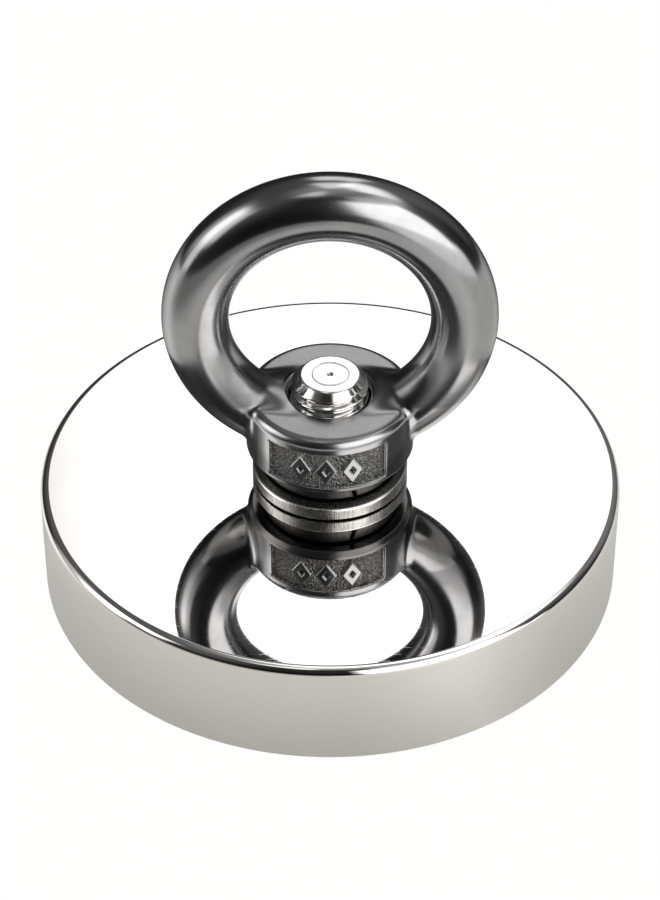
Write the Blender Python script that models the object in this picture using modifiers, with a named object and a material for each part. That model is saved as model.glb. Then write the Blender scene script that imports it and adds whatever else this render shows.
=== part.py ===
"""Magnet fishing magnet: a nickel-plated steel pot holding a ring magnet, with a lifting eye nut
clamped on its back by a countersunk socket bolt.

Metres, +Z up. The origin is the centre of the pulling face, +Z runs up the bolt towards the eye,
and the eye lies in the XZ plane, so a rope goes through it along Y.
"""

import math

import bpy

MM = 0.001
GAP = 0.3 * MM  # clearance between pieces that touch

# Pot and what is bonded into it.
POT_RADIUS = 45.0 * MM
POT_HEIGHT = 18.0 * MM
POT_WALL = 4.3 * MM
POT_BASE = 6.2 * MM
POT_BACK_EDGE = 0.9 * MM
POT_FACE_EDGE = 1.1 * MM
BOLT_HOLE_RADIUS = 6.5 * MM
MAGNET_RADIUS = 38.0 * MM
MAGNET_BORE = 14.2 * MM
MAGNET_RECESS = 0.3 * MM
BOND_THICKNESS = 0.4 * MM
RESIN_RECESS = 0.6 * MM
BUSH_WALL = 1.4 * MM

# Bolt: M12 x 1.75, 25 mm long over the head, 90 degree countersunk, 8 mm hexagon socket.
THREAD_PITCH = 1.75 * MM
THREAD_RADIUS = 5.4 * MM
THREAD_DEPTH = 0.5 * MM
THREAD_CLEARANCE = 0.3 * MM
BOLT_LENGTH = 25.0 * MM
HEAD_RADIUS = 11.0 * MM
HEAD_LAND = 0.5 * MM
HEAD_RECESS = 0.4 * MM
SOCKET_WIDTH = 8.0 * MM
SOCKET_DEPTH = 5.2 * MM
BOLT_END_CHAMFER = 1.4 * MM
THREAD_START = 2.0 * MM  # height of the first thread over the pot's back

# Washers: a chamfered flat washer and a split spring washer, both for M12.
FLAT_RADIUS = 12.0 * MM
FLAT_BORE = 6.5 * MM
WASHER_THICKNESS = 2.5 * MM
FLAT_CHAMFER_WIDTH = 0.8 * MM
FLAT_CHAMFER_HEIGHT = 1.1 * MM
SPRING_RADIUS = 10.5 * MM
SPRING_BORE = 6.2 * MM
SPRING_SPLIT = 0.6 * MM
SPRING_SPLIT_ANGLE = math.radians(-70.0)
SPRING_SPLIT_SLANT = math.radians(14.0)

# Eye nut.
BOSS_RADIUS = 12.9 * MM
BOSS_HEIGHT = 10.1 * MM
BOSS_TOP_EDGE = 1.5 * MM
BOSS_FOOT_CHAMFER = 0.7 * MM
BORE_MOUTH = 0.6 * MM
EYE_RADIUS = 20.1 * MM  # to the middle of the round bar
BAR_RADIUS = 5.05 * MM
EYE_RISE = 23.9 * MM  # from the boss's foot to the eye's centre
ARM_SINK = 1.4 * MM  # how far the eye's arms run into the boss
PANEL_TURN = math.radians(-92.5)  # the panel's middle, about Z
PANEL_HALF_ANGLE = math.radians(44.0)
PANEL_DEPTH = 0.5 * MM
PANEL_HEIGHT = 6.7 * MM
PANEL_RISE = 1.2 * MM  # from the boss's foot to the panel's lower edge
LOZENGE_COUNT = 3
LOZENGE_WIDTH = 3.5 * MM
LOZENGE_HEIGHT = 5.2 * MM
LOZENGE_SPACING = math.radians(18.0)

# Heights that follow from the stack.
BASE_UNDER = POT_HEIGHT - POT_BASE
BOLT_HEAD_Z = BASE_UNDER + HEAD_RECESS
BOLT_END_Z = BOLT_HEAD_Z + BOLT_LENGTH
FLAT_Z = POT_HEIGHT + GAP
SPRING_Z = FLAT_Z + WASHER_THICKNESS + GAP
BOSS_FOOT = SPRING_Z + WASHER_THICKNESS + GAP
BOSS_TOP = BOSS_FOOT + BOSS_HEIGHT
EYE_Z = BOSS_FOOT + EYE_RISE

# Facets.
WIDE_STEPS = 64
ROUND_STEPS = 48
BOLT_STEPS = 24
NUT_STEPS = 40
SWEEP_STEPS = 11
ROWS_PER_TURN = 4
ARC_STEPS = 3
EYE_STEPS = 44
BAR_STEPS = 16
MERGE = 1e-5

MATERIALS = {
    "polished_nickel": ((0.80, 0.79, 0.77), 0.08, 1.0),
    "magnet_nickel": ((0.72, 0.72, 0.70), 0.20, 1.0),
    "black_resin": ((0.03, 0.03, 0.035), 0.45, 0.0),
    "brass": ((0.78, 0.60, 0.30), 0.30, 1.0),
    "bright_steel": ((0.75, 0.74, 0.72), 0.18, 1.0),
    "spring_steel": ((0.30, 0.30, 0.30), 0.35, 1.0),
    "cast_stainless": ((0.38, 0.38, 0.39), 0.22, 1.0),
}


def clear_scene():
    for obj in list(bpy.data.objects):
        bpy.data.objects.remove(obj, do_unlink=True)


def new_collection(name):
    collection = bpy.data.collections.new(name)
    bpy.context.scene.collection.children.link(collection)
    return collection


def material(name):
    found = bpy.data.materials.get(name)
    if found:
        return found
    colour, roughness, metallic = MATERIALS[name]
    made = bpy.data.materials.new(name)
    made.use_nodes = True
    shader = made.node_tree.nodes["Principled BSDF"]
    shader.inputs["Base Color"].default_value = (*colour, 1.0)
    shader.inputs["Roughness"].default_value = roughness
    shader.inputs["Metallic"].default_value = metallic
    return made


def add_object(name, mesh, collection, finish=None):
    obj = bpy.data.objects.new(name, mesh)
    collection.objects.link(obj)
    if finish:
        mesh.materials.append(material(finish))
    return obj


def make_cutter(obj):
    obj.hide_render = True
    obj.display_type = "WIRE"
    return obj


def arc(radius, height, size, start, end):
    """Points of a rounded edge about (radius, height), from one angle to another in degrees."""
    angles = [start + (end - start) * i / ARC_STEPS for i in range(ARC_STEPS + 1)]
    turned = [(math.cos(math.radians(a)), math.sin(math.radians(a))) for a in angles]
    return [(radius + size * c, height + size * s) for c, s in turned]


def turned(name, profile, collection, finish=None, steps=WIDE_STEPS, ring=True):
    """A turned solid. The profile is a list of (radius, height) that runs down the outer side;
    a ring's profile closes on itself, and a solid one starts and ends on the axis."""
    mesh = bpy.data.meshes.new(name)
    points = [(radius, 0.0, height) for radius, height in profile]
    edges = [(i, i + 1) for i in range(len(points) - 1)]
    if ring:
        edges.append((len(points) - 1, 0))
    mesh.from_pydata(points, edges, [])
    obj = add_object(name, mesh, collection, finish)
    screw = obj.modifiers.new("turn", "SCREW")
    screw.axis = "Z"
    screw.angle = 2 * math.pi
    screw.steps = steps
    screw.render_steps = steps
    screw.use_merge_vertices = True
    screw.merge_threshold = MERGE
    return obj


def applied(obj):
    """The object with its modifiers made into its mesh."""
    bpy.context.view_layer.update()
    evaluated = obj.evaluated_get(bpy.context.evaluated_depsgraph_get())
    mesh = bpy.data.meshes.new_from_object(evaluated)
    obj.modifiers.clear()
    obj.data = mesh
    return obj


def boolean(obj, other, operation="DIFFERENCE"):
    modifier = obj.modifiers.new(operation.lower(), "BOOLEAN")
    modifier.operation = operation
    modifier.object = other
    return obj


def smooth(obj, angle=40.0):
    obj.data.shade_smooth()
    obj.data.set_sharp_from_angle(angle=math.radians(angle))
    return obj


def thread_rows(low, high):
    """Heights of the rings of points that carry a thread between two heights."""
    count = math.ceil((high - low) / THREAD_PITCH * ROWS_PER_TURN)
    return [low + (high - low) * i / count for i in range(count + 1)]


def cut_thread(obj, radius, low, high, settle):
    """Moves the points at this radius in and out along a right-handed helix. At both ends the
    thread settles at the crest (1) or the root (-1) of the wave."""
    for vertex in obj.data.vertices:
        x, y, z = vertex.co
        here = math.hypot(x, y)
        if abs(here - radius) > MERGE:
            continue
        fade = max(0.0, min(1.0, (z - low) / THREAD_PITCH * 2, (high - z) / THREAD_PITCH * 2))
        wave = math.cos(2 * math.pi * z / THREAD_PITCH - math.atan2(y, x))
        scale = (radius + THREAD_DEPTH * (wave * fade + settle * (1.0 - fade))) / here
        vertex.co = (x * scale, y * scale, z)


def pot_shell(parts):
    """A cup that opens downwards, with a countersunk hole in the middle of its base."""
    inner = POT_RADIUS - POT_WALL
    face, back = POT_FACE_EDGE, POT_BACK_EDGE
    sink = HEAD_RADIUS + GAP
    cone = BOLT_HEAD_Z + HEAD_LAND + GAP
    profile = [
        (BOLT_HOLE_RADIUS, POT_HEIGHT),
        *arc(POT_RADIUS - back, POT_HEIGHT - back, back, 90, 0),
        *arc(POT_RADIUS - face, face, face, 0, -90),
        (inner, 0.0),
        (inner, BASE_UNDER),
        (sink, BASE_UNDER),
        (sink, cone),
        (BOLT_HOLE_RADIUS, cone + sink - BOLT_HOLE_RADIUS),
    ]
    return smooth(turned("pot_shell", profile, parts, "polished_nickel"))


def rectangle(inner, outer, low, high):
    return [(inner, high), (outer, high), (outer, low), (inner, low)]


def ring_magnet(parts):
    high = BASE_UNDER - BOND_THICKNESS - 2 * GAP
    profile = rectangle(MAGNET_BORE, MAGNET_RADIUS, MAGNET_RECESS, high)
    return smooth(turned("ring_magnet", profile, parts, "magnet_nickel"))


def epoxy_bond(parts):
    """The film of epoxy that holds the magnet to the pot's base."""
    high = BASE_UNDER - GAP
    profile = rectangle(MAGNET_BORE, MAGNET_RADIUS, high - BOND_THICKNESS, high)
    return smooth(turned("epoxy_bond", profile, parts, "black_resin"))


def resin_ring(parts):
    """Potting resin in the gap between the magnet and the pot's wall."""
    inner = MAGNET_RADIUS + GAP
    outer = POT_RADIUS - POT_WALL - GAP
    profile = rectangle(inner, outer, RESIN_RECESS, BASE_UNDER - GAP)
    return smooth(turned("resin_ring", profile, parts, "black_resin"))


def centre_bush(parts):
    """A brass sleeve that lines the magnet's bore and leaves a well down to the bolt's head."""
    outer = MAGNET_BORE - GAP
    profile = rectangle(outer - BUSH_WALL, outer, RESIN_RECESS, BASE_UNDER - GAP)
    return smooth(turned("centre_bush", profile, parts, "brass", ROUND_STEPS))


def hexagon_cutter(cutters):
    """The socket: a hexagonal prism with a flat end, its corners to the front and back."""
    bpy.ops.mesh.primitive_cylinder_add(
        vertices=6,
        radius=SOCKET_WIDTH / math.sqrt(3),
        depth=2 * SOCKET_DEPTH,
        location=(0.0, 0.0, BOLT_HEAD_Z),
    )
    cutter = bpy.context.object
    cutter.name = "socket_cutter"
    bpy.context.collection.objects.unlink(cutter)
    cutters.objects.link(cutter)
    return make_cutter(cutter)


def countersunk_bolt(parts, cutters):
    """The bolt stands head down: socket and cone in the pot's base, thread up through the eye."""
    neck = THREAD_RADIUS + THREAD_DEPTH
    cone_low = BOLT_HEAD_Z + HEAD_LAND
    cone_high = cone_low + HEAD_RADIUS - neck
    low = POT_HEIGHT + THREAD_START
    high = BOLT_END_Z - BOLT_END_CHAMFER
    profile = [(0.0, BOLT_END_Z), (neck - BOLT_END_CHAMFER, BOLT_END_Z)]
    profile += [(THREAD_RADIUS, z) for z in reversed(thread_rows(low, high))]
    profile += [
        (neck, low - THREAD_DEPTH),
        (neck, cone_high),
        (HEAD_RADIUS, cone_low),
        (HEAD_RADIUS, BOLT_HEAD_Z),
        (0.0, BOLT_HEAD_Z),
    ]
    bolt = turned("countersunk_bolt", profile, parts, "bright_steel", BOLT_STEPS, ring=False)
    cut_thread(applied(bolt), THREAD_RADIUS, low, high, -1.0)
    boolean(bolt, hexagon_cutter(cutters))
    return smooth(bolt)


def flat_washer(parts):
    high = FLAT_Z + WASHER_THICKNESS
    profile = [
        (FLAT_BORE, high),
        (FLAT_RADIUS - FLAT_CHAMFER_WIDTH, high),
        (FLAT_RADIUS, high - FLAT_CHAMFER_HEIGHT),
        (FLAT_RADIUS, FLAT_Z),
        (FLAT_BORE, FLAT_Z),
    ]
    return smooth(turned("flat_washer", profile, parts, "bright_steel", ROUND_STEPS), 20.0)


def spring_washer(parts, cutters):
    """A split ring of square wire, pressed flat; the split slants across it."""
    profile = rectangle(SPRING_BORE, SPRING_RADIUS, SPRING_Z, SPRING_Z + WASHER_THICKNESS)
    washer = applied(
        turned("spring_washer", profile, parts, "spring_steel", ROUND_STEPS)
    )
    middle = (SPRING_BORE + SPRING_RADIUS) / 2
    bpy.ops.mesh.primitive_cube_add(size=1.0)
    cutter = bpy.context.object
    cutter.name = "split_cutter"
    bpy.context.collection.objects.unlink(cutter)
    cutters.objects.link(cutter)
    cutter.scale = (2 * (SPRING_RADIUS - SPRING_BORE), SPRING_SPLIT, 3 * WASHER_THICKNESS)
    cutter.rotation_euler = (SPRING_SPLIT_SLANT, 0.0, SPRING_SPLIT_ANGLE)
    cutter.location = (
        middle * math.cos(SPRING_SPLIT_ANGLE),
        middle * math.sin(SPRING_SPLIT_ANGLE),
        SPRING_Z + WASHER_THICKNESS / 2,
    )
    boolean(washer, make_cutter(cutter))
    return smooth(washer)


def boss(parts):
    """The eye nut's boss with its threaded bore, before the eye is joined to it."""
    bore = THREAD_RADIUS + THREAD_CLEARANCE
    mouth = bore + THREAD_DEPTH + BORE_MOUTH
    low = BOSS_FOOT + BORE_MOUTH
    high = BOSS_TOP - BORE_MOUTH
    edge = BOSS_TOP_EDGE
    profile = [
        (mouth, BOSS_TOP),
        *arc(BOSS_RADIUS - edge, BOSS_TOP - edge, edge, 90, 0),
        (BOSS_RADIUS, BOSS_FOOT + BOSS_FOOT_CHAMFER),
        (BOSS_RADIUS - BOSS_FOOT_CHAMFER, BOSS_FOOT),
        (mouth, BOSS_FOOT),
        *((bore, z) for z in thread_rows(low, high)),
    ]
    made = applied(turned("eye_nut", profile, parts, "cast_stainless", NUT_STEPS))
    cut_thread(made, bore, low, high, 1.0)
    return made


def eye_bar(cutters):
    """The round bar of the eye, cleared where the boss and the bolt stand."""
    bpy.ops.mesh.primitive_torus_add(
        major_segments=EYE_STEPS,
        minor_segments=BAR_STEPS,
        major_radius=EYE_RADIUS,
        minor_radius=BAR_RADIUS,
        location=(0.0, 0.0, EYE_Z),
        rotation=(math.pi / 2, 0.0, 0.0),
    )
    bar = bpy.context.object
    bar.name = "eye_bar"
    bpy.context.collection.objects.unlink(bar)
    cutters.objects.link(bar)
    inside = BOSS_RADIUS - ARM_SINK
    mouth = THREAD_RADIUS + THREAD_CLEARANCE + THREAD_DEPTH + BORE_MOUTH + GAP
    step = BOSS_TOP - 2 * GAP
    low = EYE_Z - EYE_RADIUS - 2 * BAR_RADIUS
    profile = [(0.0, EYE_Z), (mouth, EYE_Z), (mouth, step), (inside, step), (inside, low), (0.0, low)]
    plug = turned("eye_bar_plug", profile, cutters, steps=ROUND_STEPS, ring=False)
    boolean(bar, make_cutter(plug))
    return make_cutter(bar)


def curved_patch(name, radius, middle, half_angle, low, high, thickness, collection):
    """A piece of a tube's wall: a vertical edge swept about Z, and thickened outwards."""
    start = middle - half_angle
    mesh = bpy.data.meshes.new(name)
    x, y = radius * math.cos(start), radius * math.sin(start)
    mesh.from_pydata([(x, y, high), (x, y, low)], [(0, 1)], [])
    obj = add_object(name, mesh, collection)
    screw = obj.modifiers.new("sweep", "SCREW")
    screw.axis = "Z"
    screw.angle = 2 * half_angle
    screw.steps = SWEEP_STEPS
    screw.render_steps = SWEEP_STEPS
    solidify = obj.modifiers.new("thicken", "SOLIDIFY")
    solidify.thickness = thickness
    solidify.offset = 1.0
    return obj


def panel_cutter(cutters):
    """The sunk panel on the boss's front, which leaves a row of raised lozenges standing."""
    low = BOSS_FOOT + PANEL_RISE
    cutter = curved_patch(
        "panel_cutter",
        BOSS_RADIUS - PANEL_DEPTH,
        PANEL_TURN,
        PANEL_HALF_ANGLE,
        low,
        low + PANEL_HEIGHT,
        4 * PANEL_DEPTH,
        cutters,
    )
    applied(cutter)
    for index in range(LOZENGE_COUNT):
        turn = PANEL_TURN + (index - (LOZENGE_COUNT - 1) / 2) * LOZENGE_SPACING
        bpy.ops.mesh.primitive_cylinder_add(vertices=4, radius=0.5, depth=1.0)
        lozenge = bpy.context.object
        lozenge.name = f"lozenge_{index + 1}"
        bpy.context.collection.objects.unlink(lozenge)
        cutters.objects.link(lozenge)
        lozenge.scale = (LOZENGE_HEIGHT, LOZENGE_WIDTH, 8 * PANEL_DEPTH)
        lozenge.rotation_euler = (0.0, math.pi / 2, turn)
        lozenge.location = (
            BOSS_RADIUS * math.cos(turn),
            BOSS_RADIUS * math.sin(turn),
            low + PANEL_HEIGHT / 2,
        )
        boolean(cutter, make_cutter(lozenge))
    return make_cutter(cutter)


def eye_nut(parts, cutters):
    """One casting: the eye's bar joined to the boss, with the sunk panel cut in the front."""
    nut = boss(parts)
    boolean(nut, eye_bar(cutters), "UNION")
    boolean(nut, panel_cutter(cutters))
    return smooth(nut)


def build():
    clear_scene()
    parts = new_collection("fishing_magnet")
    cutters = new_collection("cutters")
    pot_shell(parts)
    ring_magnet(parts)
    epoxy_bond(parts)
    resin_ring(parts)
    centre_bush(parts)
    countersunk_bolt(parts, cutters)
    flat_washer(parts)
    spring_washer(parts, cutters)
    eye_nut(parts, cutters)


build()
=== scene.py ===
"""Looks of the fishing magnet: a mirror-polished nickel pot with a dark cast eye nut on its back.

Every piece stands for one CAD node and keeps its size. Metres, +Z up, the eye in the XZ plane.
"""

import math

import bpy
import numpy as np
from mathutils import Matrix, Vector


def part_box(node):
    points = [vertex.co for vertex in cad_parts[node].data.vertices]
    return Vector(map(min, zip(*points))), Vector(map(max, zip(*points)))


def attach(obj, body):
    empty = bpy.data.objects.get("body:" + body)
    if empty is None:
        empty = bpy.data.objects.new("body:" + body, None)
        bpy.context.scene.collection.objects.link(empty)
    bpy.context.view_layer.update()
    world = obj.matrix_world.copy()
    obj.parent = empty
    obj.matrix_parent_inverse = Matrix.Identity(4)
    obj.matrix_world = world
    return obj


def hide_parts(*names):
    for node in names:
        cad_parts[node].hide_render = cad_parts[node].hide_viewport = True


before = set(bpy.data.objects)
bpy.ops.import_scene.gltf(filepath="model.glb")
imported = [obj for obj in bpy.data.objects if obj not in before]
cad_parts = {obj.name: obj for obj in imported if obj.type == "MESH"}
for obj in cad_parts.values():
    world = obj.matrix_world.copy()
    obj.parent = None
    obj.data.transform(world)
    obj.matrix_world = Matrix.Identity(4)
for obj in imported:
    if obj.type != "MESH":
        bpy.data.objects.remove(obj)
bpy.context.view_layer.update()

MM = 0.001

# Sizes that the frame gives.
POT_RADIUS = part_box("pot_shell")[1].x
POT_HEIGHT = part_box("pot_shell")[1].z
MAGNET_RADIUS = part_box("ring_magnet")[1].x
MAGNET_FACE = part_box("ring_magnet")[0].z
MAGNET_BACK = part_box("ring_magnet")[1].z
BOND_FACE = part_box("epoxy_bond")[0].z
BOND_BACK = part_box("epoxy_bond")[1].z
RESIN_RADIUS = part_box("resin_ring")[1].x
RESIN_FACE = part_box("resin_ring")[0].z
RESIN_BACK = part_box("resin_ring")[1].z
BUSH_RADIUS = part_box("centre_bush")[1].x
BUSH_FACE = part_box("centre_bush")[0].z
BUSH_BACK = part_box("centre_bush")[1].z
HEAD_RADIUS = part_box("countersunk_bolt")[1].x
HEAD_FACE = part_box("countersunk_bolt")[0].z
BOLT_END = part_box("countersunk_bolt")[1].z
FLAT_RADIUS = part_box("flat_washer")[1].x
FLAT_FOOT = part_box("flat_washer")[0].z
FLAT_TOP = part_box("flat_washer")[1].z
SPRING_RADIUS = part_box("spring_washer")[1].x
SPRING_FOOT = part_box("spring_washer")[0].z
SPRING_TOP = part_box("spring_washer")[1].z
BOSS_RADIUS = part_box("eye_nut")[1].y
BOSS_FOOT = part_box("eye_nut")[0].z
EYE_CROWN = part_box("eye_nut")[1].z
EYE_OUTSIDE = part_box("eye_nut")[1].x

# Sizes that the frame's boxes don't show. They are those of the CAD, except that the pot's back
# edge is rounder, the panel is deeper and the spring washer's split is narrower.
POT_WALL = 4.3 * MM
POT_BASE = 6.2 * MM
POT_BACK_EDGE = 1.3 * MM
POT_FACE_EDGE = 1.1 * MM
BOLT_HOLE = 6.5 * MM
MAGNET_BORE = 14.2 * MM
BUSH_WALL = 1.4 * MM
GAP = 0.3 * MM
PITCH = 1.75 * MM
THREAD_CREST = 5.9 * MM
THREAD_DEPTH = 1.0 * MM
THREAD_CLEARANCE = 0.3 * MM
THREAD_FOOT = 2.0 * MM
END_CHAMFER = 1.4 * MM
HEAD_LAND = 0.5 * MM
SOCKET_WIDTH = 8.0 * MM
SOCKET_DEPTH = 5.2 * MM
WASHER_BORE = 6.5 * MM
SPRING_BORE = 6.2 * MM
SPRING_SPLIT = 0.35 * MM
SPLIT_ANGLE = math.radians(-70.0)
SPLIT_SLANT = math.radians(14.0)
BOSS_HEIGHT = 10.1 * MM
BOSS_TOP_EDGE = 1.5 * MM
BAR_RADIUS = 5.05 * MM
EYE_RADIUS = EYE_OUTSIDE - BAR_RADIUS
EYE_Z = EYE_CROWN - EYE_OUTSIDE
BOSS_TOP = BOSS_FOOT + BOSS_HEIGHT
ARM_BLEND = 4.2 * MM
ARM_CREASE = 1.0 * MM
ARM_END = math.radians(20.0)
PANEL_TURN = math.radians(-92.5)
PANEL_HALF_ANGLE = math.radians(44.0)
PANEL_LOW = BOSS_FOOT + 1.2 * MM
PANEL_HIGH = PANEL_LOW + 6.7 * MM
PANEL_DEPTH = 0.6 * MM
LOZENGE_SPACING = math.radians(18.0)
LOZENGE_WIDTH = 3.5 * MM
LOZENGE_HEIGHT = 5.2 * MM
LOZENGE_STROKE = 1.1 * MM

ROUND = 256


# ---------------------------------------------------------------- surfaces


def skin(name, grid, along=False, caps=(False, False)):
    """A mesh over grid[i, j] = point. j goes round and closes on itself. i closes too if along,
    and a capped end row is one point. Each cell i, j to i + 1, j + 1 is one face."""
    rows, columns = grid.shape[:2]
    index = np.arange(rows * columns).reshape(rows, columns)
    if caps[0]:
        index[0] = index[0, 0]
    if caps[1]:
        index[-1] = index[-1, 0]
    here = index if along else index[:-1]
    below = np.roll(index, -1, 0) if along else index[1:]
    cells = np.stack([here, below, np.roll(below, -1, 1), np.roll(here, -1, 1)], -1)
    used, flat = np.unique(cells, return_inverse=True)
    cells = flat.reshape(cells.shape)
    faces = []
    if caps[0]:
        faces += cells[0][:, [0, 1, 2]].tolist()
        cells = cells[1:]
    if caps[1]:
        faces += cells[-1][:, [0, 1, 3]].tolist()
        cells = cells[:-1]
    faces += cells.reshape(-1, 4).tolist()
    mesh = bpy.data.meshes.new(name)
    mesh.from_pydata(grid.reshape(-1, 3)[used].tolist(), [], faces)
    mesh.shade_smooth()
    obj = bpy.data.objects.new(name, mesh)
    bpy.context.scene.collection.objects.link(obj)
    return obj


def rounded(corners, closed=True, steps=7, guard=0.08 * MM):
    """An outline of (radius, height) points through corners given as (radius, height, edge).
    An edge over 0 is an arc of that radius, tangent to both sides, with one more point just off
    each end of it, so that the flats beside it shade flat."""
    outline = []
    count = len(corners)
    for i, (r, z, edge) in enumerate(corners):
        here = np.array([r, z])
        if edge <= 0 or (not closed and i in (0, count - 1)):
            outline.append(here)
            continue
        before = np.array(corners[i - 1][:2]) - here
        after = np.array(corners[(i + 1) % count][:2]) - here
        room = min(np.linalg.norm(before), np.linalg.norm(after))
        before /= np.linalg.norm(before)
        after /= np.linalg.norm(after)
        half = math.acos(np.clip(before @ after, -1, 1)) / 2
        reach = edge / math.tan(half)
        middle = here + (before + after) / np.linalg.norm(before + after) * edge / math.sin(half)
        start, end = here + before * reach - middle, here + after * reach - middle
        sweep = math.pi - 2 * half
        t = np.linspace(0, 1, steps + 1)[:, None]
        turn = (np.sin((1 - t) * sweep) * start + np.sin(t * sweep) * end) / math.sin(sweep)
        off = min(guard, 0.2 * (room - reach)) if room > reach else 0
        if off > 0:
            outline.append(here + before * (reach + off))
        outline.extend(middle + turn)
        if off > 0:
            outline.append(here + after * (reach + off))
    return np.array(outline)


def turned(name, outline, steps=ROUND, closed=True):
    """The outline (radius r, height z) carried round Z: x = r cos t, y = r sin t."""
    t = np.linspace(0, 2 * math.pi, steps, endpoint=False)
    r, z = outline[:, :1], outline[:, 1:]
    grid = np.stack([r * np.cos(t), r * np.sin(t), z + 0 * t], -1)
    return skin(name, grid, along=closed, caps=(not closed, not closed))


def blocky(inner, outer, low, high, edge):
    """The corners of a plain ring's section, going down its outer side."""
    return [(inner, high, edge), (outer, high, edge), (outer, low, edge), (inner, low, edge)]


def thread(z, t):
    """How far up a right-handed thread's flank a point is: 0 on the root and 1 on the crest.
    The phase is z / pitch - t / 2 pi, and the flanks are straight with a narrow flat each end."""
    phase = np.mod(z / PITCH - t / (2 * math.pi), 1.0)
    return np.clip((np.abs(2 * phase - 1) - 0.16) / 0.70, 0, 1)


# ------------------------------------------------------------------ pieces


def make_pot():
    """A cup turned about Z, with its base's countersink and rounded edges."""
    inner = POT_RADIUS - POT_WALL
    under = POT_HEIGHT - POT_BASE
    sink = HEAD_RADIUS + GAP
    cone = HEAD_FACE + HEAD_LAND + GAP
    corners = [
        (BOLT_HOLE, POT_HEIGHT, 0.06 * MM),
        (POT_RADIUS, POT_HEIGHT, POT_BACK_EDGE),
        (POT_RADIUS, 0.0, POT_FACE_EDGE),
        (inner, 0.0, 0.25 * MM),
        (inner, under, 0.3 * MM),
        (sink, under, 0.1 * MM),
        (sink, cone, 0.05 * MM),
        (BOLT_HOLE, cone + sink - BOLT_HOLE, 0.05 * MM),
    ]
    return turned("pot_shell_plated", rounded(corners), 2 * ROUND)


def make_magnet():
    """A plain ring turned about Z, with small edges."""
    corners = blocky(MAGNET_BORE, MAGNET_RADIUS, MAGNET_FACE, MAGNET_BACK, 0.35 * MM)
    return turned("ring_magnet_plated", rounded(corners))


def make_bond():
    """A thin film whose edge runs in and out a little, r = r0 + 0.2 mm sin of several turns."""
    t = np.linspace(0, 2 * math.pi, ROUND, endpoint=False)
    outline = rounded(
        blocky(MAGNET_BORE + 0.5 * MM, MAGNET_RADIUS - 0.5 * MM, BOND_FACE, BOND_BACK, 0.1 * MM)
    )
    r, z = outline[:, :1], outline[:, 1:]
    wander = 0.2 * MM * (np.sin(7 * t) + 0.6 * np.sin(13 * t + 1) + 0.4 * np.sin(29 * t)) / 2
    grid = np.stack([(r + wander) * np.cos(t), (r + wander) * np.sin(t), z + 0 * t], -1)
    return skin("epoxy_bond_film", grid, along=True)


def make_resin():
    """The potted ring. Its free face dips between the walls: z = face + dip (1 - s^2)."""
    inner, outer = MAGNET_RADIUS + GAP, RESIN_RADIUS
    s = np.linspace(1, -1, 13)
    middle, half = (inner + outer) / 2, (outer - inner) / 2
    face = np.stack([middle + half * s, RESIN_FACE + 0.35 * MM * (1 - s**2)], -1)
    outline = np.concatenate([[[inner, RESIN_BACK]], [[outer, RESIN_BACK]], face])
    return turned("resin_ring_potted", outline)


def make_bush():
    """A plain tube turned about Z, with small edges."""
    corners = blocky(BUSH_RADIUS - BUSH_WALL, BUSH_RADIUS, BUSH_FACE, BUSH_BACK, 0.25 * MM)
    return turned("centre_bush_turned", rounded(corners))


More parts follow.
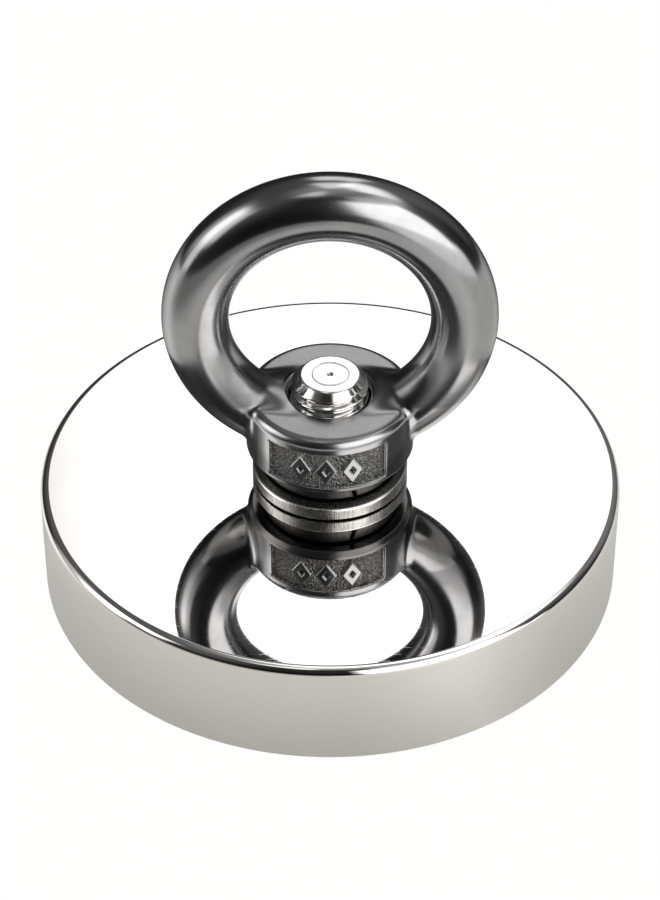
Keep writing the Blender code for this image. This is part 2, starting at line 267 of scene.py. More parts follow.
def make_bolt():
    """Rows run from the middle of the thread's end, down the thread and the cone, over the head's
    face and into the hexagon socket. On the thread, r = min(outline, crest - depth (1 - thread)).
    In the socket, r = half width / cos(angle to the nearest flat). The end's flat has a turned
    groove and a centre pip, each a bell curve of r."""
    t = np.linspace(0, 2 * math.pi, 192, endpoint=False)
    end = THREAD_CREST - END_CHAMFER
    r = np.linspace(0, end - 0.22 * MM, 60)
    groove = 0.035 * MM * np.exp(-(((r - 2.8 * MM) / (0.11 * MM)) ** 2))
    pip = 0.22 * MM * np.exp(-((r / (0.3 * MM)) ** 2))
    face = np.stack([r, BOLT_END - groove - pip], -1)
    turn = np.linspace(0, math.pi / 4, 8)[1:]
    bend = 0.5 * MM
    corner = [end - 0.2 * MM + bend * np.sin(turn), BOLT_END - bend * (1 - np.cos(turn))]
    face = np.concatenate([face, np.stack(corner, -1)])
    low = POT_HEIGHT + THREAD_FOOT
    z = np.arange(face[-1, 1] - 0.06 * MM, low, -PITCH / 18)
    edge = np.minimum(THREAD_CREST, face[-1, 0] + face[-1, 1] - z)
    stem = np.stack([edge, z], -1)
    cone = HEAD_FACE + HEAD_LAND
    rest = rounded(
        [
            (THREAD_CREST, low, 0.0),
            (THREAD_CREST, cone + HEAD_RADIUS - THREAD_CREST, 0.4 * MM),
            (HEAD_RADIUS, cone, 0.12 * MM),
            (HEAD_RADIUS, HEAD_FACE, 0.15 * MM),
            (SOCKET_WIDTH / 2 + 1.1 * MM, HEAD_FACE, 0.0),
        ],
        closed=False,
    )
    outline = np.concatenate([face, stem, rest])
    rings = np.repeat(outline[:, :1], len(t), 1)
    high = outline[:, 1:] + 0 * t
    fade = np.clip((high - low) / PITCH, 0, 1)
    cut = THREAD_CREST - THREAD_DEPTH * (1 - thread(high, t)) * fade
    threaded = (high > low) & (np.arange(len(outline))[:, None] >= len(face))
    rings = np.where(threaded, np.minimum(rings, cut), rings)
    flat = np.mod(t + math.pi / 6, math.pi / 3) - math.pi / 6
    hexagon = SOCKET_WIDTH / 2 / np.cos(flat)
    # Each row of the socket: its share of the hexagon, and its depth under the head's face.
    steps = [
        (1.05, 0.0),
        (1.0, 0.25 * MM),
        (1.0, 0.4 * MM),
        (1.0, 1.6 * MM),
        (1.0, 3.4 * MM),
        (1.0, SOCKET_DEPTH - 0.1 * MM),
        (0.985, SOCKET_DEPTH),
        (0.95, SOCKET_DEPTH + 0.03 * MM),
        (0.6, SOCKET_DEPTH + 0.7 * MM),
        (0.3, SOCKET_DEPTH + 1.25 * MM),
        (0.0, SOCKET_DEPTH + 1.7 * MM),
    ]
    inside = np.stack([hexagon * share for share, _ in steps])
    heights = np.stack([HEAD_FACE + depth + 0 * t for _, depth in steps])
    rings = np.concatenate([rings, inside])
    high = np.concatenate([high, heights])
    grid = np.stack([rings * np.cos(t), rings * np.sin(t), high], -1)
    return skin("countersunk_bolt_plated", grid, caps=(True, True))


def make_flat_washer():
    """Turned about Z: a flat ring whose top slopes a little near its rolled edge."""
    corners = [
        (WASHER_BORE, FLAT_TOP, 0.2 * MM),
        (FLAT_RADIUS - 1.2 * MM, FLAT_TOP, 0.3 * MM),
        (FLAT_RADIUS, FLAT_TOP - 0.6 * MM, 0.25 * MM),
        (FLAT_RADIUS, FLAT_FOOT, 0.15 * MM),
        (WASHER_BORE, FLAT_FOOT, 0.1 * MM),
    ]
    return turned("flat_washer_rolled", rounded(corners))


def make_spring_washer():
    """A rectangular section carried round Z from one side of the split to the other. The ends
    lean: t = split + share of a turn - tan(slant) (z - middle) / r. Both shrink to a point."""
    outline = rounded(blocky(SPRING_BORE, SPRING_RADIUS, SPRING_FOOT, SPRING_TOP, 0.22 * MM))
    share = np.linspace(0, 1, 220)[:, None]
    r, z = outline[None, :, 0], outline[None, :, 1]
    middle = (SPRING_FOOT + SPRING_TOP) / 2
    half_gap = SPRING_SPLIT / 2 / ((SPRING_BORE + SPRING_RADIUS) / 2)
    lean = -np.tan(SPLIT_SLANT) * (z - middle) / SPRING_RADIUS
    t = SPLIT_ANGLE + half_gap + lean + share * (2 * math.pi - 2 * half_gap)
    grid = np.stack([r * np.cos(t), r * np.sin(t), z + 0 * t], -1)
    first = grid[:1].mean(1, keepdims=True) + 0 * grid[:1]
    last = grid[-1:].mean(1, keepdims=True) + 0 * grid[-1:]
    near_first = first + (grid[:1] - first) * 0.9
    near_last = last + (grid[-1:] - last) * 0.9
    grid = np.concatenate([first, near_first, grid, near_last, last])
    return skin("spring_washer_split", grid[:, ::-1], caps=(True, True))


# ----------------------------------------------------------------- eye nut


def smooth_step(x):
    """0 below 0, 1 above 1, and 3 x^2 - 2 x^3 between."""
    x = np.clip(x, 0, 1)
    return x * x * (3 - 2 * x)


def panel_depth(t, z):
    """How deep the boss's side is sunk at angle t and height z: a round-cornered panel, with
    three lozenge outlines left standing in it. The walls are smooth steps. An outline runs where
    |across| / width + |rise| / height = 1 / 2."""
    s = BOSS_RADIUS * (t - PANEL_TURN)
    half_s = BOSS_RADIUS * PANEL_HALF_ANGLE
    middle, half_z = (PANEL_LOW + PANEL_HIGH) / 2, (PANEL_HIGH - PANEL_LOW) / 2
    corner = 0.5 * MM
    out = np.stack([np.abs(s) - half_s + corner, np.abs(z - middle) - half_z + corner])
    edge = np.hypot(*np.maximum(out, 0)) + np.minimum(out.max(0), 0) - corner
    sunk = smooth_step(-edge / (0.35 * MM))
    slope = math.hypot(LOZENGE_WIDTH, LOZENGE_HEIGHT)
    for place in (-1, 0, 1):
        across = np.abs(s - place * BOSS_RADIUS * LOZENGE_SPACING)
        rise = np.abs(z - middle)
        size = across * LOZENGE_HEIGHT + rise * LOZENGE_WIDTH
        apart = (size - LOZENGE_WIDTH * LOZENGE_HEIGHT / 2) / slope + LOZENGE_STROKE / 2
        standing = smooth_step((LOZENGE_STROKE / 2 + 0.12 * MM - np.abs(apart)) / (0.3 * MM))
        sunk = sunk * (1 - 0.94 * standing)
    return PANEL_DEPTH * sunk


def make_boss():
    """The boss, turned about Z, with its side's radius less by panel_depth. Columns and rows are
    closer where the panel is."""
    fine = math.radians(0.42)
    reach = PANEL_HALF_ANGLE + math.radians(2.5)
    front = np.arange(PANEL_TURN - reach, PANEL_TURN + reach, fine)
    rest = np.linspace(front[-1] + fine, front[0] + 2 * math.pi, 140, endpoint=False)
    t = np.concatenate([front, rest])
    corners = [
        (0.0, BOSS_TOP, 0.0),
        (BOSS_RADIUS, BOSS_TOP, BOSS_TOP_EDGE),
        (BOSS_RADIUS, BOSS_FOOT + 0.7 * MM, 0.35 * MM),
        (BOSS_RADIUS - 0.7 * MM, BOSS_FOOT, 0.25 * MM),
        (0.0, BOSS_FOOT, 0.0),
    ]
    outline = rounded(corners, closed=False, steps=9)
    top = outline[0] + (outline[1] - outline[0]) * np.linspace(0, 1, 36)[:-1, None]
    side = np.flatnonzero(np.abs(outline[:, 0] - BOSS_RADIUS) < 1e-8)
    a, b = outline[side[1]], outline[side[2]]
    rows = a + (b - a) * np.linspace(0, 1, 74)[1:-1, None]
    outline = np.concatenate([top, outline[1 : side[1] + 1], rows, outline[side[2] :]])
    r, z = outline[:, :1] + 0 * t, outline[:, 1:] + 0 * t
    around = np.where(t > math.pi, t - 2 * math.pi, t) + 0 * z
    r = r - np.where(r > BOSS_RADIUS - 1e-6, panel_depth(around, z), 0)
    grid = np.stack([r * np.cos(t), r * np.sin(t), z], -1)
    return skin("eye_nut_cast", grid, caps=(True, True))


def make_bar():
    """The eye's round bar, carried along the eye's circle from one arm's end to the other:
    x = (R + b cos v) sin u, z = centre - (R + b cos v) cos u, y = b sin v."""
    u = np.linspace(ARM_END, 2 * math.pi - ARM_END, 300)[:, None]
    v = np.linspace(0, 2 * math.pi, 84, endpoint=False)
    b = BAR_RADIUS * np.ones_like(u)
    u = np.concatenate([u[:1], u, u[-1:]])
    b = np.concatenate([[[0.0]], b, [[0.0]]])
    reach = EYE_RADIUS + b * np.cos(v)
    grid = np.stack([reach * np.sin(u), b * np.sin(v), EYE_Z - reach * np.cos(u)], -1)
    return skin("bar", grid, caps=(True, True))


def bore_cutter():
    """The threaded bore: r = major radius - depth (1 - thread), with a cone at each mouth."""
    t = np.linspace(0, 2 * math.pi, 120, endpoint=False)
    major = THREAD_CREST + THREAD_CLEARANCE
    mouth = major + 0.6 * MM
    z = np.arange(BOSS_TOP - 0.6 * MM, BOSS_FOOT + 0.6 * MM, -PITCH / 14)
    fade = np.clip(np.minimum(z - z[-1], z[0] - z) / PITCH * 2, 0, 1)[:, None]
    threads = major - THREAD_DEPTH * (1 - thread(z[:, None], t)) * fade
    over = BOSS_TOP + 6.0 * MM
    above = np.array(
        [
            (0, over),
            (mouth + GAP, over),
            (mouth + GAP, BOSS_TOP + 0.05 * MM),
            (mouth, BOSS_TOP),
        ]
    )
    below = np.array([(mouth, BOSS_FOOT), (mouth, BOSS_FOOT - MM), (0, BOSS_FOOT - MM)])
    r = np.concatenate([above[:, :1] + 0 * t, threads, below[:, :1] + 0 * t])
    high = np.concatenate([above[:, 1], z, below[:, 1]])[:, None] + 0 * t
    grid = np.stack([r * np.cos(t), r * np.sin(t), high], -1)
    return skin("bore", grid, caps=(True, True))


def boss_distance(p):
    """Distance to the boss as a cylinder with a rounded top edge."""
    out_r = np.hypot(p[:, 0], p[:, 1]) - BOSS_RADIUS + BOSS_TOP_EDGE
    out_z = p[:, 2] - BOSS_TOP + BOSS_TOP_EDGE
    outside = np.hypot(np.maximum(out_r, 0), np.maximum(out_z, 0))
    return outside + np.minimum(np.maximum(out_r, out_z), 0) - BOSS_TOP_EDGE


def bar_distance(p):
    """Distance to the eye's round bar as a whole ring."""
    return np.hypot(np.hypot(p[:, 0], p[:, 2] - EYE_Z) - EYE_RADIUS, p[:, 1]) - BAR_RADIUS


def blend_width(p):
    """How far the arms and the boss melt together: narrow under the arms and at the boss's rim,
    and wider over its top, toward the bolt."""
    high = smooth_step((p[:, 2] - BOSS_TOP + 1.4 * MM) / (1.4 * MM))
    inward = smooth_step((BOSS_RADIUS - np.hypot(p[:, 0], p[:, 1])) / (6.0 * MM))
    return ARM_CREASE + (ARM_BLEND - ARM_CREASE) * high * inward


def blended_distance(p):
    """Smooth union: min(a, b) - h^2 k / 4, where h = max(k - |a - b|, 0) / k."""
    a, b, k = boss_distance(p), bar_distance(p), blend_width(p)
    h = np.maximum(k - np.abs(a - b), 0) / k
    return np.minimum(a, b) - h * h * k / 4


def blend_arms(mesh):
    """Moves the points near both the boss and the bar out onto their smooth union, by a few
    steps down the distance's gradient, so that the arms flow into the boss."""
    points = np.empty(3 * len(mesh.vertices))
    mesh.vertices.foreach_get("co", points)
    points = points.reshape(-1, 3)
    further = np.maximum(boss_distance(points), bar_distance(points))
    near = (further < blend_width(points)) & (further > -ARM_BLEND)
    near &= points[:, 2] > BOSS_FOOT + 1.6 * MM
    p = points[near]
    step = 1e-6
    for _ in range(10):
        d = blended_distance(p)
        slope = np.stack(
            [(blended_distance(p + step * axis) - d) / step for axis in np.eye(3)], -1
        )
        p = p - d[:, None] * slope / np.maximum((slope**2).sum(-1, keepdims=True), 0.2)
    points[near] = p
    mesh.vertices.foreach_set("co", points.ravel())
    mesh.update()


def combine(obj, other, operation):
    """obj with other joined to it or cut from it, as plain mesh data."""
    modifier = obj.modifiers.new("combine", "BOOLEAN")
    modifier.operation = operation
    modifier.object = other
    bpy.context.view_layer.update()
    evaluated = obj.evaluated_get(bpy.context.evaluated_depsgraph_get())
    mesh = bpy.data.meshes.new_from_object(evaluated)
    obj.modifiers.clear()
    obj.data = mesh
    bpy.data.objects.remove(other, do_unlink=True)
    return obj


def make_eye_nut():
    """Boss and bar in one casting, blended together, then bored and threaded."""
    nut = combine(make_boss(), make_bar(), "UNION")
    blend_arms(nut.data)
    combine(nut, bore_cutter(), "DIFFERENCE")
    nut.data.shade_smooth()
    nut.data.set_sharp_from_angle(angle=math.radians(48.0))
    return nut


# ---------------------------------------------------------------- finishes


class Value:
    """A socket that takes arithmetic: each operator adds the Math node that does it."""

    def __init__(self, finish, socket):
        self.finish, self.socket = finish, socket

    def __add__(self, other):
        return self.finish.maths("ADD", self, other)

    def __sub__(self, other):
        return self.finish.maths("SUBTRACT", self, other)

    def __mul__(self, other):
        return self.finish.maths("MULTIPLY", self, other)

    def __rsub__(self, other):
        return self.finish.maths("SUBTRACT", other, self)

    __radd__ = __add__

    def power(self, exponent):
        return self.finish.maths("POWER", self, exponent)

    def size(self):
        return self.finish.maths("ABSOLUTE", self)

    def clamped(self):
        return self.finish.maths("ADD", self, 0.0, clamp=True)

    def step(self, low, high):
        """0 below low and 1 above high, with a smooth rise between. low may be the greater."""
        inputs = {"Value": self, "From Min": low, "From Max": high}
        return self.finish.node("ShaderNodeMapRange", {"interpolation_type": "SMOOTHSTEP"}, inputs)

    def band(self, middle, half, soft):
        """1 within half of the middle, falling to 0 over soft."""
        return (self - middle).size().step(half + soft / 2, half - soft / 2)


class Finish:
    """A node tree to paint with, and what its patterns are made of."""

    def __init__(self, tree):
        self.tree = tree

    def node(self, kind, settings=None, inputs=None, output=0):
        made = self.tree.nodes.new(kind)
        for name, value in (settings or {}).items():
            setattr(made, name, value)
        for name, value in (inputs or {}).items():
            if isinstance(value, Value):
                self.tree.links.new(value.socket, made.inputs[name])
            else:
                made.inputs[name].default_value = value
        return Value(self, made.outputs[output])

    def maths(self, operation, *inputs, clamp=False):
        settings = {"operation": operation, "use_clamp": clamp}
        return self.node("ShaderNodeMath", settings, dict(enumerate(inputs)))

    def place(self):
        return self.node("ShaderNodeTexCoord", output="Object")

    def split(self, vector):
        """x, y and z of a vector."""
        made = self.node("ShaderNodeSeparateXYZ", inputs={0: vector})
        return [Value(self, socket) for socket in made.socket.node.outputs]

    def vector(self, x, y, z):
        return self.node("ShaderNodeCombineXYZ", inputs={0: x, 1: y, 2: z})

    def round_place(self):
        """Radius, angle and height about the Z axis, from the object's own coordinates."""
        x, y, z = self.split(self.place())
        radius = (x * x + y * y).power(0.5)
        return radius, self.maths("ARCTAN2", y, x), z

    def noise(self, vector, scale, detail=2.0, roughness=0.5):
        inputs = {"Vector": vector, "Scale": scale, "Detail": detail, "Roughness": roughness}
        return self.node("ShaderNodeTexNoise", inputs=inputs)

    def mix(self, share, first, second):
        """The colour first where share is 0, and second where it is 1."""
        inputs = {0: share, 6: (*first, 1.0) if isinstance(first, tuple) else first}
        inputs[7] = (*second, 1.0) if isinstance(second, tuple) else second
        return self.node("ShaderNodeMix", {"data_type": "RGBA"}, inputs, 2)

    def bump(self, height, distance, strength=1.0, normal=None):
        inputs = {"Height": height, "Distance": distance, "Strength": strength}
        if normal:
            inputs["Normal"] = normal
        return self.node("ShaderNodeBump", inputs=inputs)


def new_finish(name):
    """A material, its Finish, and a function that sets its shader's sockets."""
    made = bpy.data.materials.new(name)
    made.use_nodes = True
    finish = Finish(made.node_tree)
    shader = made.node_tree.nodes["Principled BSDF"]

    def set_shader(**sockets):
        for key, value in sockets.items():
            socket = shader.inputs[key.replace("_", " ")]
            if isinstance(value, Value):
                made.node_tree.links.new(value.socket, socket)
            else:
                socket.default_value = value

    return made, finish, set_shader


def scratches(finish, place, turn, density=1.0):
    """Fine straight scratches along one direction: noise stretched sixtyfold, kept where it
    peaks."""
    inputs = {"Vector": place}
    inputs["Rotation"] = (0.3 * turn, 0.2 * turn, turn)
    inputs["Scale"] = (1.0, 60.0, 60.0)
    turned_place = finish.node("ShaderNodeMapping", inputs=inputs)
    return finish.noise(turned_place, 90.0 * density, 1.0).step(0.66, 0.74)


def polished_nickel():
    """Bright nickel plate: a mirror on the back and its edge, satin on the side, duller below,
    with faint polishing haze and a few hairline scratches."""
    made, finish, set_shader = new_finish("polished_nickel")
    place = finish.place()
    radius, angle, z = finish.round_place()
    inner = POT_RADIUS - POT_WALL
    side = z.step(POT_HEIGHT - 0.75 * MM, POT_HEIGHT - 1.05 * MM)
    side = side * radius.step(POT_RADIUS - 1.0 * MM, POT_RADIUS - 0.4 * MM)
    under = z.step(0.6 * MM, 0.2 * MM)
    inside = radius.step(inner + 0.5 * MM, inner + 0.1 * MM)
    inside = inside * z.step(POT_HEIGHT - 1.5 * MM, POT_HEIGHT - 3 * MM)
    dull = (side + under + inside).clamped()
    haze = finish.noise(place, 55.0, 3.0)
    hair = scratches(finish, place, 0.4) + scratches(finish, place, 1.9) * 0.7
    grain_place = finish.vector(angle * 2.0, z * 900.0, 0.0)
    grain = finish.noise(grain_place, 3.0, 3.0, 0.6)
    mirror_tone = finish.mix(haze.step(0.35, 0.75), (0.70, 0.685, 0.67), (0.74, 0.725, 0.71))
    satin_tone = finish.mix(grain.step(0.2, 0.8), (0.70, 0.682, 0.65), (0.73, 0.712, 0.68))
    colour = finish.mix(dull, mirror_tone, satin_tone)
    rough = 0.012 + haze * 0.015 + hair * 0.04 + dull * (0.19 + grain * 0.08)
    relief = finish.bump(grain * dull, 0.00001, 0.15)
    relief = finish.bump(haze + hair * 0.4, 0.000004, 0.15, relief)
    set_shader(Base_Color=colour, Metallic=1.0, Roughness=rough, Normal=relief)
    return made


def magnet_nickel():
    """Satin nickel over a sintered block: a fine mottle and grinding lines across it."""
    made, finish, set_shader = new_finish("magnet_nickel")
    place = finish.place()
    mottle = finish.noise(place, 900.0, 3.0, 0.6)
    stains = finish.noise(place, 60.0, 4.0)
    lines = scratches(finish, place, 0.2, 1.6) + scratches(finish, place, 0.25, 0.8)
    tone = finish.mix(stains.step(0.4, 0.7), (0.62, 0.61, 0.58), (0.52, 0.51, 0.49))
    rough = 0.2 + mottle * 0.12 + lines * 0.15 + stains * 0.06
    relief = finish.bump(mottle + lines * 0.5, 0.00003, 0.3)
    set_shader(Base_Color=tone, Metallic=1.0, Roughness=rough, Normal=relief)
    return made


def black_resin():
    """Cast black epoxy: glossy, gently wavy, with pin holes and dust."""
    made, finish, set_shader = new_finish("black_resin")
    place = finish.place()
    waves = finish.noise(place, 120.0, 2.0)
    pores = finish.node(
        "ShaderNodeTexVoronoi", inputs={"Vector": place, "Scale": 800.0, "Randomness": 1.0}
    )
    pits = pores.step(0.16, 0.06)
    dust = finish.noise(place, 500.0, 4.0).step(0.58, 0.75)
    tone = finish.mix(dust, (0.012, 0.012, 0.014), (0.05, 0.048, 0.045))
    relief = finish.bump(waves - pits * 0.6, 0.0001, 0.4)
    set_shader(Base_Color=tone, Roughness=0.16 + dust * 0.35 + pits * 0.3, Normal=relief)
    return made


def turned_brass():
    """Turned brass with tool rings and a little brown tarnish."""
    made, finish, set_shader = new_finish("turned_brass")
    radius, angle, z = finish.round_place()
    rings = finish.noise(finish.vector(radius * 9000.0, z * 9000.0, angle * 0.6), 1.0, 2.0)
    tarnish = finish.noise(finish.place(), 140.0, 4.0)
    tone = finish.mix(tarnish.step(0.45, 0.75), (0.78, 0.58, 0.27), (0.52, 0.36, 0.16))
    rough = 0.18 + rings * 0.12 + tarnish * 0.12
    relief = finish.bump(rings, 0.00003, 0.5)
    set_shader(Base_Color=tone, Metallic=1.0, Roughness=rough, Normal=relief)
    return made


def bolt_nickel():
    """Bright nickel over a rolled thread: tool rings on the flat end, a mirror on the flanks."""
    made, finish, set_shader = new_finish("bolt_nickel")
    place = finish.place()
    radius, angle, z = finish.round_place()
    end = z.step(BOLT_END - 0.35 * MM, BOLT_END - 0.2 * MM)
    rings = finish.noise(finish.vector(radius * 11000.0, angle * 0.4, 0.0), 1.0, 2.0)
    flow = finish.noise(finish.vector(angle * 3.0, z * 5200.0, radius * 800.0), 1.0, 2.0)
    soil = finish.noise(place, 420.0, 3.0)
    tone = finish.mix(soil.step(0.5, 0.8), (0.78, 0.765, 0.74), (0.62, 0.60, 0.57))
    rough = 0.04 + end * rings * 0.10 + flow * 0.07 + soil * 0.05
    relief = finish.bump(end * rings, 0.000012, 0.5)
    relief = finish.bump(flow, 0.00001, 0.3, relief)
    set_shader(Base_Color=tone, Metallic=1.0, Roughness=rough, Normal=relief)
    return made


def washer_steel(name, light, dark, roughness):
    """Rolled steel: fine upright grain on the edge, tool rings on the faces, and dark soil. The
    flat washer's top has painted shade, and its corner between top and edge a painted highlight."""
    made, finish, set_shader = new_finish(name)
    place = finish.place()
    radius, angle, z = finish.round_place()
    grain = finish.noise(finish.vector(angle * 60.0, z * 260.0, radius * 260.0), 1.0, 4.0, 0.7)
    rings = finish.noise(finish.vector(angle * 1.5, z * 4200.0, radius * 4200.0), 1.0, 2.0)
    soil = finish.noise(place, 260.0, 4.0)
    tone = finish.mix((soil * 0.6 + grain * 0.5).step(0.42, 0.72), light, dark)
    # Painted shade: the flat ring on the washer's top is darkened to near black.
    painted_shade_top = z.step(FLAT_TOP - 0.54 * MM, FLAT_TOP - 0.40 * MM)
    painted_shade_top = painted_shade_top * z.step(FLAT_TOP + 0.2 * MM, FLAT_TOP)
    tone = finish.mix(painted_shade_top * 0.85, tone, (0.07, 0.066, 0.06))
    # Painted highlight: the corner between the washer's top and its edge is painted near white.
    painted_highlight_edge = z.band(FLAT_TOP - 0.64 * MM, 0.17 * MM, 0.1 * MM)
    painted_highlight_edge = painted_highlight_edge * radius.step(FLAT_RADIUS - 0.40 * MM, FLAT_RADIUS - 0.15 * MM)
    tone = finish.mix(painted_highlight_edge, tone, (0.95, 0.94, 0.91))
    rough = (roughness + grain * 0.16 + rings * 0.08) * (1.0 - painted_highlight_edge * 0.4)
    relief = finish.bump(grain, 0.00005, 0.55)
    relief = finish.bump(rings, 0.00002, 0.3, relief)
    set_shader(Base_Color=tone, Metallic=1.0, Roughness=rough, Normal=relief)
    return made


def cast_stainless():
    """Cast stainless steel, tumbled and polished: cloudy grey, brushed round the boss, with a
    pebbled floor in the sunk panel. The boss's top is a darker grey, and painted shade darkens
    the arms where they meet the boss and the eye's underside."""
    made, finish, set_shader = new_finish("cast_stainless")
    place = finish.place()
    radius, angle, z = finish.round_place()
    floor = radius.step(BOSS_RADIUS - 0.14 * MM, BOSS_RADIUS - 0.34 * MM)
    floor = floor * z.band((PANEL_LOW + PANEL_HIGH) / 2, (PANEL_HIGH - PANEL_LOW) / 2, 0.1 * MM)
    floor = floor * radius.step(BOSS_RADIUS - 1.2 * MM, BOSS_RADIUS - 1.0 * MM)
    boss = z.step(BOSS_TOP + 0.5 * MM, BOSS_TOP - 0.5 * MM)
    boss = boss * radius.step(BOSS_RADIUS + 0.8 * MM, BOSS_RADIUS + 0.2 * MM)
    top = boss * z.step(BOSS_TOP - 0.35 * MM, BOSS_TOP - 0.1 * MM)
    cloud = finish.noise(place, 170.0, 4.0, 0.6)
    fine = finish.noise(place, 1500.0, 3.0, 0.6)
    brushed = finish.noise(finish.vector(angle * 2.0, z * 3800.0, radius * 3800.0), 1.0, 3.0)
    pebbles = finish.node(
        "ShaderNodeTexVoronoi",
        {"feature": "SMOOTH_F1"},
        {"Vector": place, "Scale": 3600.0, "Smoothness": 0.6, "Randomness": 1.0},
    )
    tone = finish.mix(cloud.step(0.35, 0.7), (0.37, 0.37, 0.375), (0.33, 0.33, 0.335))
    pebble_tone = finish.mix(
        pebbles.step(0.15, 0.55), (0.05, 0.048, 0.045), (0.25, 0.245, 0.235)
    )
    tone = finish.mix(floor, tone, pebble_tone)
    tone = finish.mix(top * 0.9, tone, (0.17, 0.17, 0.18))
    # Painted shade: the arms are darkened where they meet the boss's top.
    painted_shade_feet = z.step(BOSS_TOP + 7.0 * MM, BOSS_TOP + 2.0 * MM) * z.step(BOSS_TOP, BOSS_TOP + 0.8 * MM)
    tone = finish.mix(painted_shade_feet * (0.35 + cloud * 0.6), tone, (0.10, 0.10, 0.105))
    # Painted shade: the eye's underside, facing the pot, is darkened.
    x = finish.split(place)[0]
    drop = z - EYE_Z
    away = (x * x + drop * drop).power(0.5)
    below = away.step(EYE_RADIUS + 0.5 * MM, EYE_RADIUS + 3.5 * MM)
    below = below * drop.step(-2.0 * MM, -8.0 * MM)
    tone = finish.mix(below * (0.5 + cloud * 0.5), tone, (0.13, 0.13, 0.13))
    rough = 0.12 + cloud * 0.07 + fine * 0.03 + boss * brushed * 0.08
    rough = rough + top * 0.15 + floor * 0.18 + painted_shade_feet * 0.08
    relief = finish.bump(brushed * boss, 0.00002, 0.35)
    relief = finish.bump(cloud * 0.6 + fine * 0.1, 0.00006, 0.22, relief)
    relief = finish.bump(pebbles * floor, 0.0003, 1.0, relief)
    set_shader(Base_Color=tone, Metallic=1.0, Roughness=rough, Normal=relief)
    return made


# ------------------------------------------------------------------- studio


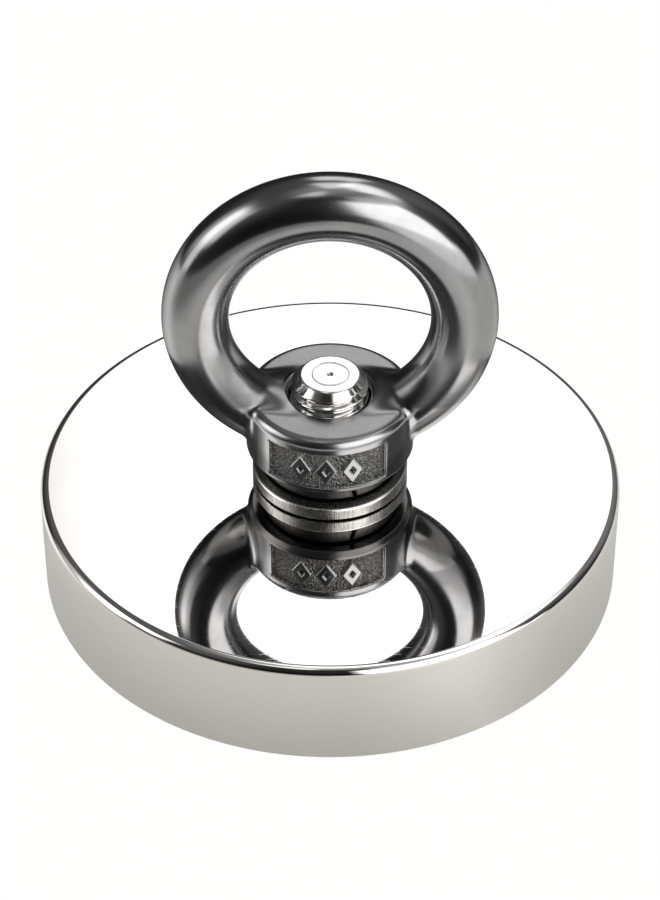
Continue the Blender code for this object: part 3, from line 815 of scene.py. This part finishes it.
def make_studio():
    """A white floor and backdrop that only the camera sees, and what the metal reflects in their
    place: a glowing table, and a dark world with soft boxes in it. Angles are in degrees, and
    azimuth 0 is behind the magnet and 90 is to its right."""
    world = bpy.data.worlds.new("studio")
    world.use_nodes = True
    bpy.context.scene.world = world
    finish = Finish(world.node_tree)
    x, y, z = finish.split(finish.node("ShaderNodeTexCoord", output="Generated"))
    to_degrees = 180 / math.pi
    azimuth = finish.maths("ARCTAN2", x, y) * to_degrees
    height = finish.maths("ARCSINE", z) * to_degrees

    def box(middle, half, low, high, soft, light):
        around = azimuth.band(middle, half, soft)
        upright = height.band((low + high) / 2, (high - low) / 2, soft)
        return around * upright * light

    front = azimuth.size().step(125.0, 160.0)
    light = (0.03 + height.step(8.0, 45.0) * 0.09) * (1.0 - front * 0.75)
    light = light + height.step(60.0, 84.0) * 0.38 + height.step(-32.0, -45.0) * 0.75
    # Each box: middle azimuth, half its width, lowest and highest angle, softness, light.
    for lamp in (
        (-98.0, 20.0, 12.0, 43.0, 9.0, 1.5),
        (-93.0, 10.0, -6.0, 44.0, 8.0, 1.4),
        (-74.0, 9.0, 0.0, 42.0, 14.0, 0.6),
        (139.0, 30.0, 10.0, 51.0, 9.0, 2.7),
        (122.0, 36.0, 48.0, 66.0, 12.0, 0.9),
        (134.0, 34.0, -14.0, 12.0, 6.0, 1.5),
        (40.0, 24.0, 0.0, 46.0, 20.0, 0.12),
        (50.0, 34.0, 52.0, 75.0, 14.0, 2.5),
        (2.0, 22.0, 60.0, 84.0, 10.0, 1.5),
        (-146.0, 22.0, 68.0, 84.0, 8.0, 1.1),
        (4.6, 13.0, 28.5, 48.5, 8.0, 1.6),
    ):
        light = light + box(*lamp)
    background = world.node_tree.nodes["Background"]
    colour = finish.node(
        "ShaderNodeCombineColor", inputs={0: light, 1: light * 0.995, 2: light * 0.985}
    )
    world.node_tree.links.new(colour.socket, background.inputs["Color"])

    t = np.linspace(0, 2 * math.pi, 128, endpoint=False)

    def disc(name, radii, z):
        """A flat sheet with a hole, between rings of the given (half width in X, half depth in Y):
        x = width cos t, y = depth sin t."""
        width, depth = np.array(radii).T[:, :, None]
        return skin(name, np.stack([width * np.cos(t), depth * np.sin(t), z + 0 * width * t], -1))

    hole = (POT_RADIUS - 1.5 * MM, POT_RADIUS - 1.5 * MM)
    table = disc("table", (hole, (0.06, 0.06), (0.50, 0.25)), -0.2 * MM)
    made, finish, set_shader = new_finish("white_table")
    x, y, z = finish.split(finish.place())
    radius = (x * x + y * y).power(0.5)
    around = finish.maths("ARCTAN2", x, y) * to_degrees
    # The glow is 0.80. It is brighter on three sides, and dimmer close in, most of all at the left,
    # behind the magnet, and far off at front left.
    sheen = around.band(148.0, 10.0, 40.0) * 0.30 + around.band(40.0, 20.0, 40.0) * 0.14
    sheen = sheen + around.band(-82.0, 10.0, 40.0) * radius.step(0.052, 0.066) * 0.60
    far = 1.0 - radius.step(0.08, 0.16) * (around.band(-140.0, 45.0, 40.0) * 0.6)
    behind = 0.35 + radius.step(0.056, 0.066) * 0.57
    far = far * (1.0 - around.band(0.0, 50.0, 40.0) * behind)
    far = far * (1.0 - around.band(-72.0, 12.0, 18.0) * radius.step(0.060, 0.050) * 0.35)
    near = 0.70 + radius.step(0.043, 0.066) * 0.30
    glow = (0.80 + sheen) * near * far
    tint = finish.node("ShaderNodeCombineColor", inputs={0: glow, 1: glow * 0.985, 2: glow * 0.95})
    set_shader(Base_Color=(0, 0, 0, 1), Roughness=1.0, Specular_IOR_Level=0.0)
    set_shader(Emission_Color=tint, Emission_Strength=1.0)
    table.data.materials.append(made)
    table.visible_camera = False

    def camera_only(obj):
        for kind in ("diffuse", "glossy", "transmission", "volume_scatter", "shadow"):
            setattr(obj, "visible_" + kind, False)

    floor = disc("floor", (hole, (0.2, 0.2), (2.5, 2.5)), -0.3 * MM)
    made, finish, set_shader = new_finish("white_floor")
    under = finish.node("ShaderNodeNewGeometry", output="Backfacing")
    set_shader(Base_Color=(0, 0, 0, 1), Specular_IOR_Level=0.0, Alpha=1.0 - under)
    set_shader(Emission_Color=(1, 1, 0.99, 1), Emission_Strength=1.0)
    floor.data.materials.append(made)
    camera_only(floor)

    u = np.linspace(0, math.pi, 40)[:, None]
    ball = np.stack([np.sin(u) * np.cos(t), np.sin(u) * np.sin(t), np.cos(u) + 0 * t], -1)
    backdrop = skin("backdrop", ball * 2.49, caps=(True, True))
    made, _, set_shader = new_finish("white_backdrop")
    set_shader(Base_Color=(0, 0, 0, 1), Emission_Color=(1, 1, 0.99, 1), Emission_Strength=1.0)
    backdrop.data.materials.append(made)
    camera_only(backdrop)


def make_camera():
    """A long lens, from in front and some 39 degrees up, aimed a little over the pot's back."""
    elevation = math.radians(39.4)
    distance = 0.450
    target = Vector((0.0, 0.0, POT_HEIGHT + 4.3 * MM))
    back = Vector((0.0, -math.cos(elevation), math.sin(elevation)))
    data = bpy.data.cameras.new("camera")
    data.sensor_width = 36.0
    data.lens = 116.4
    camera = bpy.data.objects.new("camera", data)
    camera.location = target + back * distance
    camera.rotation_euler = (-back).to_track_quat("-Z", "Y").to_euler()
    bpy.context.scene.collection.objects.link(camera)
    bpy.context.scene.camera = camera


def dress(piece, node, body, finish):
    """The piece stands for a CAD node, moves with its body and takes its finish."""
    piece.data.materials.clear()
    piece.data.materials.append(finish)
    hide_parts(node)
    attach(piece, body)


def main():
    resin = black_resin()
    flat_steel = washer_steel("bright_steel", (0.60, 0.59, 0.565), (0.20, 0.192, 0.18), 0.15)
    # The spring washer's dark tones are partly dark steel and partly painted shade from the boss
    # above it.
    spring_steel = washer_steel("spring_steel", (0.13, 0.122, 0.115), (0.055, 0.052, 0.048), 0.22)
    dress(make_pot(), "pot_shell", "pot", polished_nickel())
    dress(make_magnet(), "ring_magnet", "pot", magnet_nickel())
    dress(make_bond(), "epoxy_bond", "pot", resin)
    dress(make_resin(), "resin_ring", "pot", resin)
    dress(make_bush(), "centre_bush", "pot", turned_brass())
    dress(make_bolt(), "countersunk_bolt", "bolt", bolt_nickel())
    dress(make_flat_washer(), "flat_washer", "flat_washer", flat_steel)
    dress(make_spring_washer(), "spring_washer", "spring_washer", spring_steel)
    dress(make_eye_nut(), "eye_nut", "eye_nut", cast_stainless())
    make_studio()
    make_camera()
    bpy.context.scene.view_settings.view_transform = "Standard"


main()
